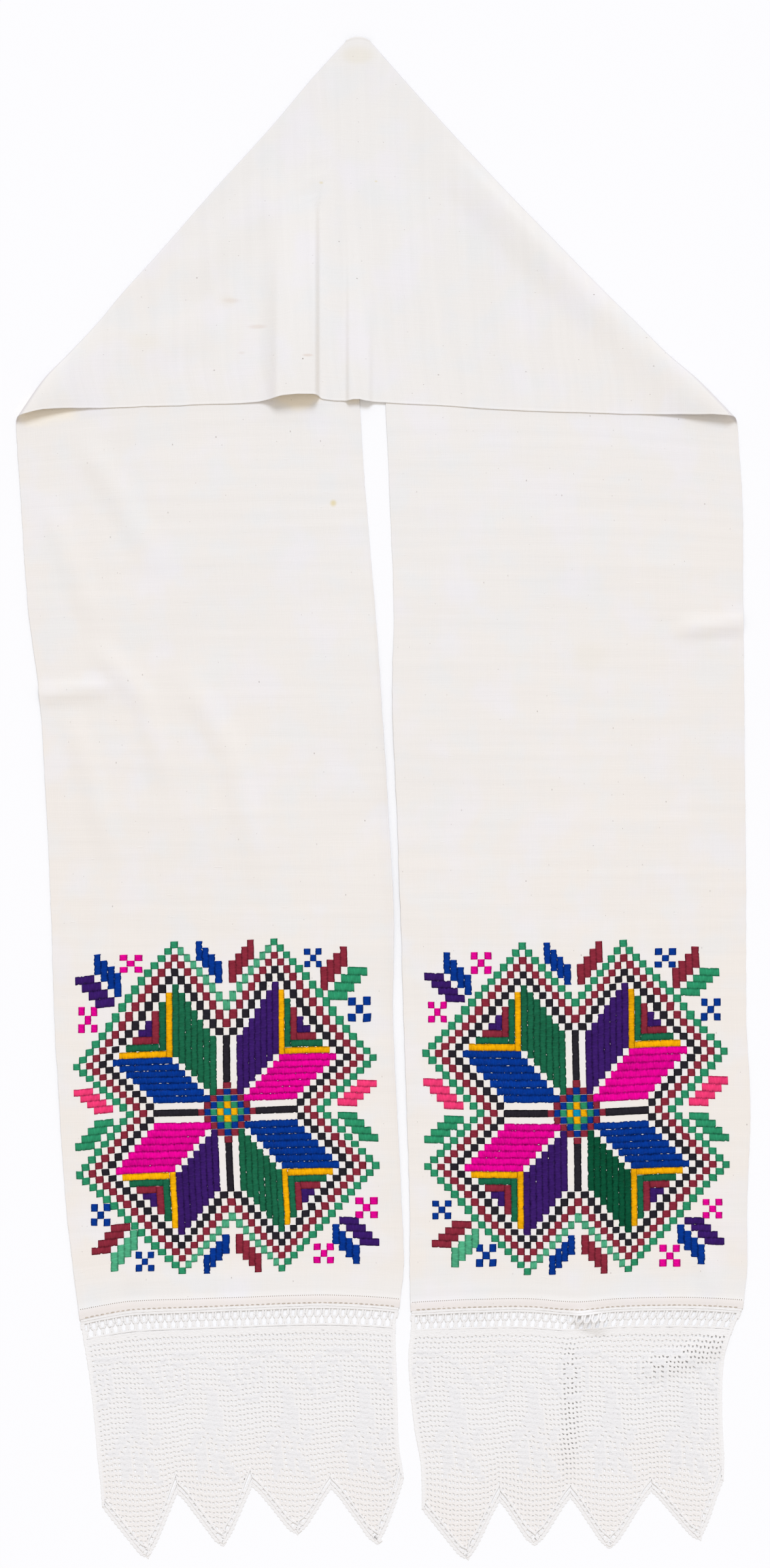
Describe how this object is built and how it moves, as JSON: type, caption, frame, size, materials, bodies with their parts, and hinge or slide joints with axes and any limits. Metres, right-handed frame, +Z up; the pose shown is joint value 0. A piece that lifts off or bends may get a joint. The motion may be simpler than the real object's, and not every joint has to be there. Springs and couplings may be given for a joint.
{
  "type": "rushnyk",
  "caption": "Long off-white ritual towel laid flat, its middle folded into a triangle and its ends hanging side by side, with embroidered star panels and pointed crochet lace.",
  "frame": {"origin": "middle of the box that encloses the laid-out towel, on the ground", "axes": "+X to the right, +Y towards the apex of the folded triangle, +Z up from the ground"},
  "size_m": [0.7304, 1.5136, 0.0124],
  "materials": {
    "cloth": "off-white plain-weave homespun, matt, with slubs and small flecks",
    "lace": "off-white crochet cotton, matt",
    "embroidery": "satin stitch in many bright colours of floss, with a silky sheen",
    "stitching": "fine brown sewing thread"
  },
  "bodies": {
    "root": {"cloth": "cloth", "lace_left": "lace", "lace_right": "lace"}
  },
  "joints": []
}
